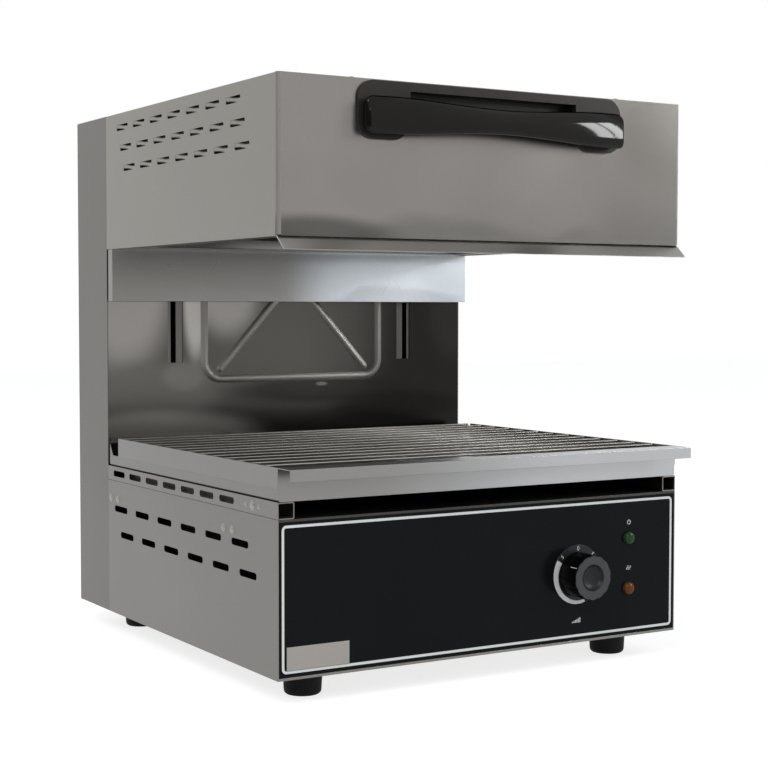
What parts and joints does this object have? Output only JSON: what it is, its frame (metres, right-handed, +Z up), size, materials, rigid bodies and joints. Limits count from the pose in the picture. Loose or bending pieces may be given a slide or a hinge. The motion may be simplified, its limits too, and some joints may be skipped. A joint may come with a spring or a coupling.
{
  "type": "cheese melter",
  "caption": "Counter-top lift grill: a counterbalanced heated head over a wire rack and drip tray, on a slotted steel base with a rotary control and two lamps.",
  "frame": {"origin": "on the counter, under the middle of the overall box", "axes": "+X to the right seen from the front, +Y from the control panel to the rear panel, +Z up"},
  "size_m": [0.4532, 0.52, 0.5538],
  "materials": {
    "stainless": "satin",
    "dark_steel": "satin",
    "bright_steel": "polished",
    "gloss_black": "gloss",
    "black_plastic": "satin",
    "rubber": "matte",
    "ceramic": "matte",
    "nylon": "satin",
    "wool": "matte",
    "cast_iron": "matte",
    "green_lens": "gloss",
    "amber_lens": "gloss"
  },
  "bodies": {
    "cabinet": {"base_shell": "stainless", "base_deck": "dark_steel", "control_panel": "stainless", "panel_overlay": "gloss_black", "name_plate": "bright_steel", "dial_disc": "gloss_black", "regulator": "ceramic", "lamp_green": "green_lens", "lamp_amber": "amber_lens", "lamp_bodies": "black_plastic", "terminal_block": "ceramic", "cable_gland": "black_plastic", "base_loom": "rubber", "heater_lead": "rubber", "feet": "rubber", "foot_screws": "bright_steel", "tray_rail_left": "stainless", "tray_rail_right": "stainless", "rail_strip_left": "stainless", "rail_strip_right": "stainless", "dome_rivets": "bright_steel", "column_side_left": "stainless", "column_side_right": "stainless", "column_top": "stainless", "back_panel": "stainless", "back_screws": "bright_steel", "splash_back": "dark_steel", "lift_guides": "bright_steel", "weight_guides": "stainless", "pulley_brackets": "stainless", "pulley_axles": "bright_steel", "lift_cables": "bright_steel"},
    "head": {"head_front": "stainless", "head_side_left": "stainless", "head_side_right": "stainless", "head_top": "stainless", "head_screws": "bright_steel", "head_rear": "stainless", "head_floor": "stainless", "apron": "stainless", "deflector_lip": "stainless", "reflector": "bright_steel", "insulation": "wool", "heating_elements": "dark_steel", "element_supports": "bright_steel", "handle_moulding": "gloss_black", "handle_bar": "gloss_black", "lift_arms": "bright_steel", "roller_axles": "bright_steel"},
    "roller_upper_left": {"roller_upper_left": "nylon"},
    "roller_upper_right": {"roller_upper_right": "nylon"},
    "roller_lower_left": {"roller_lower_left": "nylon"},
    "roller_lower_right": {"roller_lower_right": "nylon"},
    "weight_left": {"weight_left": "cast_iron"},
    "weight_right": {"weight_right": "cast_iron"},
    "pulley_left": {"pulley_left": "nylon"},
    "pulley_right": {"pulley_right": "nylon"},
    "tray": {"drip_tray": "stainless"},
    "rack": {"wire_rack": "bright_steel"},
    "knob": {"knob": "black_plastic"}
  },
  "joints": [
    {"name": "head_lift", "type": "slide", "parent": "cabinet", "child": "head", "axis": [0, 0, 1], "range_m": [-0.14, 0], "deforming": ["lift_cables", "heater_lead"]},
    {"name": "roller_upper_left_roll", "type": "hinge", "parent": "head", "child": "roller_upper_left", "pos_m": [-0.1574, 0.1775, 0.4795], "axis": [1, 0, 0], "range_deg": [-560, 560]},
    {"name": "roller_upper_right_roll", "type": "hinge", "parent": "head", "child": "roller_upper_right", "pos_m": [0.1574, 0.1775, 0.4795], "axis": [1, 0, 0], "range_deg": [-560, 560]},
    {"name": "roller_lower_left_roll", "type": "hinge", "parent": "head", "child": "roller_lower_left", "pos_m": [-0.1574, 0.1775, 0.4165], "axis": [1, 0, 0], "range_deg": [-560, 560]},
    {"name": "roller_lower_right_roll", "type": "hinge", "parent": "head", "child": "roller_lower_right", "pos_m": [0.1574, 0.1775, 0.4165], "axis": [1, 0, 0], "range_deg": [-560, 560]},
    {"name": "pulley_left_turn", "type": "hinge", "parent": "cabinet", "child": "pulley_left", "pos_m": [-0.1484, 0.1965, 0.5225], "axis": [1, 0, 0], "range_deg": [-440, 440]},
    {"name": "pulley_right_turn", "type": "hinge", "parent": "cabinet", "child": "pulley_right", "pos_m": [0.1484, 0.1965, 0.5225], "axis": [1, 0, 0], "range_deg": [-440, 440]},
    {"name": "weight_left_rise", "type": "slide", "parent": "cabinet", "child": "weight_left", "axis": [0, 0, 1], "range_m": [0, 0.14]},
    {"name": "weight_right_rise", "type": "slide", "parent": "cabinet", "child": "weight_right", "axis": [0, 0, 1], "range_m": [0, 0.14]},
    {"name": "tray_slide", "type": "slide", "parent": "cabinet", "child": "tray", "axis": [0, -1, 0], "range_m": [0, 0.3]},
    {"name": "rack_lift_off", "type": "slide", "parent": "tray", "child": "rack", "axis": [0, 0, 1], "range_m": [0, 0.045]},
    {"name": "knob_turn", "type": "hinge", "parent": "cabinet", "child": "knob", "pos_m": [0.101, -0.236, 0.0915], "axis": [0, -1, 0], "range_deg": [0, 300]}
  ],
  "couplings": [
    {"joint": "roller_upper_left_roll", "follows": "head_lift", "rad_per_m": 68.027},
    {"joint": "roller_upper_right_roll", "follows": "head_lift", "rad_per_m": 68.027},
    {"joint": "roller_lower_left_roll", "follows": "head_lift", "rad_per_m": -68.027},
    {"joint": "roller_lower_right_roll", "follows": "head_lift", "rad_per_m": -68.027},
    {"joint": "pulley_left_turn", "follows": "head_lift", "rad_per_m": -52.632},
    {"joint": "pulley_right_turn", "follows": "head_lift", "rad_per_m": -52.632},
    {"joint": "weight_left_rise", "follows": "head_lift", "ratio": -1},
    {"joint": "weight_right_rise", "follows": "head_lift", "ratio": -1}
  ]
}
